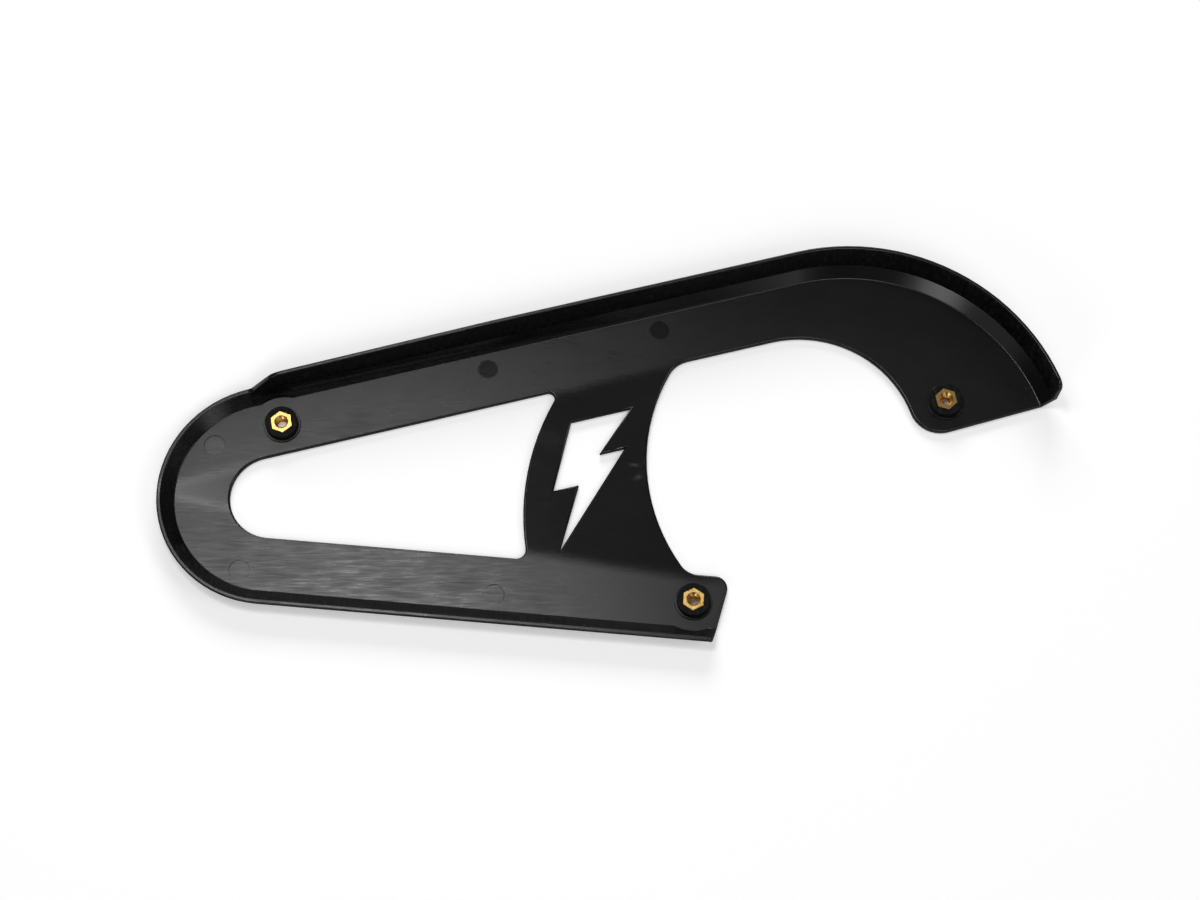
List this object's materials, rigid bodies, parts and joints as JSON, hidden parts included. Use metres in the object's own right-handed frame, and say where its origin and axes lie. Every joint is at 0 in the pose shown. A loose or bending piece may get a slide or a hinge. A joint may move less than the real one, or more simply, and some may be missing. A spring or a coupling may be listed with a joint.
{
  "type": "motorcycle chain guard",
  "caption": "Moulded chain guard with a tall rim along its top run and rear hook, a triangular window, a lightning-bolt cut-out and brass screw inserts.",
  "frame": {"origin": "axis of the front insert's threaded hole, at the outer face that the guard lies on", "axes": "+X from the front sprocket's centre to the rear one's, along the guard; +Y towards the tall rim of the top run; +Z square to the plate, from its outer face to its chain side"},
  "size_m": [0.4504, 0.1975, 0.0256],
  "materials": {
    "black_plastic": "semi-matte moulded black, faintly streaked",
    "insert_brass": "bright machined"
  },
  "bodies": {
    "root": {"guard_shell": "black_plastic", "front_insert": "insert_brass", "lower_insert": "insert_brass", "rear_insert": "insert_brass"}
  },
  "joints": []
}
